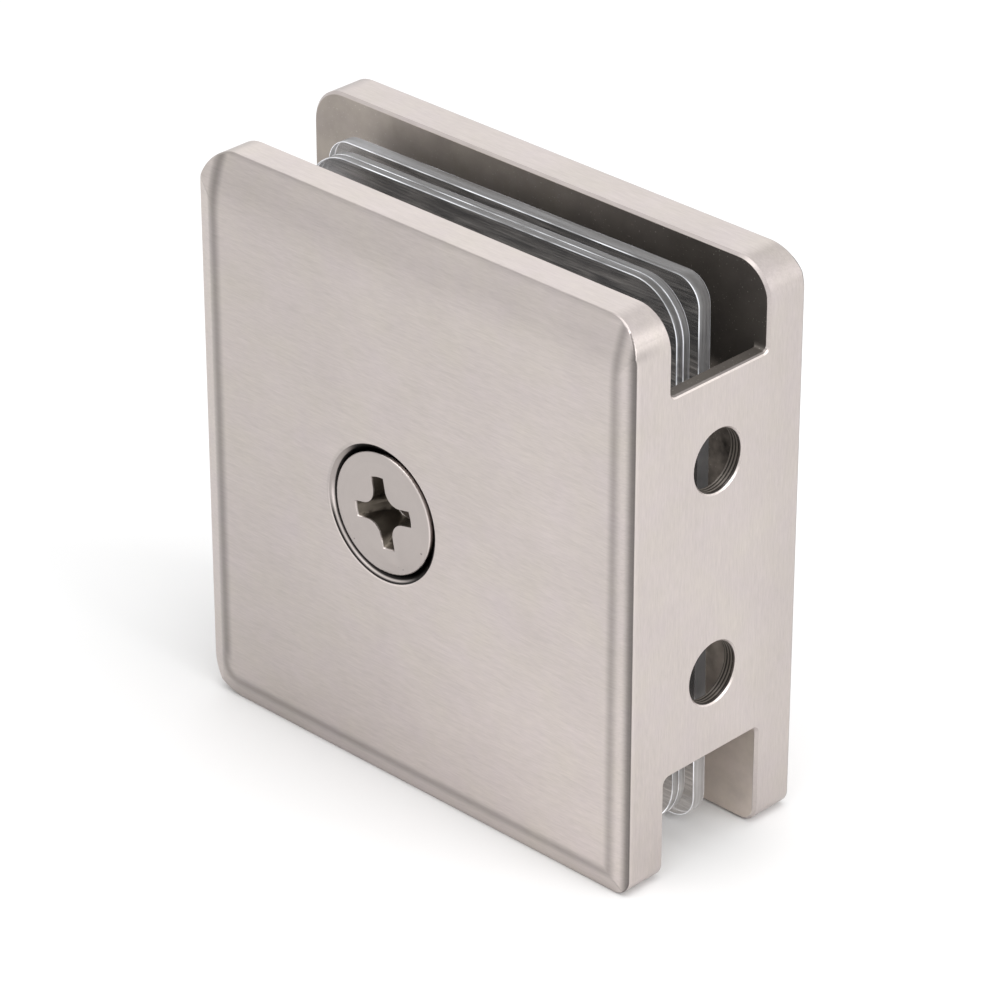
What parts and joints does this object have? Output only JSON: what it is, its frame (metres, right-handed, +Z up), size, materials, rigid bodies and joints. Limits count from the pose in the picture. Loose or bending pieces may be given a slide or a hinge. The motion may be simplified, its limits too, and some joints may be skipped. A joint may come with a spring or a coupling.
{
  "type": "glass u-clamp",
  "caption": "U-shaped glass clamp: a one-piece body with a screwed wall web, a countersunk screw across the slot and clear gaskets that grip the pane.",
  "frame": {"origin": "middle of the wall face, the flat outer face of the web, at the plates' mid height", "axes": "+X into the wall, square to the web; the plate with the screw towards -Y; +Z up along the plates' height"},
  "size_m": [0.0508, 0.0204, 0.051],
  "materials": {
    "body": "brushed nickel plating over cast brass",
    "screw": "turned head, nickel colour",
    "gasket": "clear flexible sheet, die-cut edges"
  },
  "bodies": {
    "clamp": {"clamp_body": "body", "front_gasket_outer": "gasket", "front_gasket_inner": "gasket", "rear_gasket": "gasket"},
    "screw": {"clamp_screw": "screw"}
  },
  "joints": [
    {"name": "screw_out", "type": "slide", "parent": "clamp", "child": "screw", "axis": [0, -1, 0], "range_m": [0, 0.0145]}
  ]
}
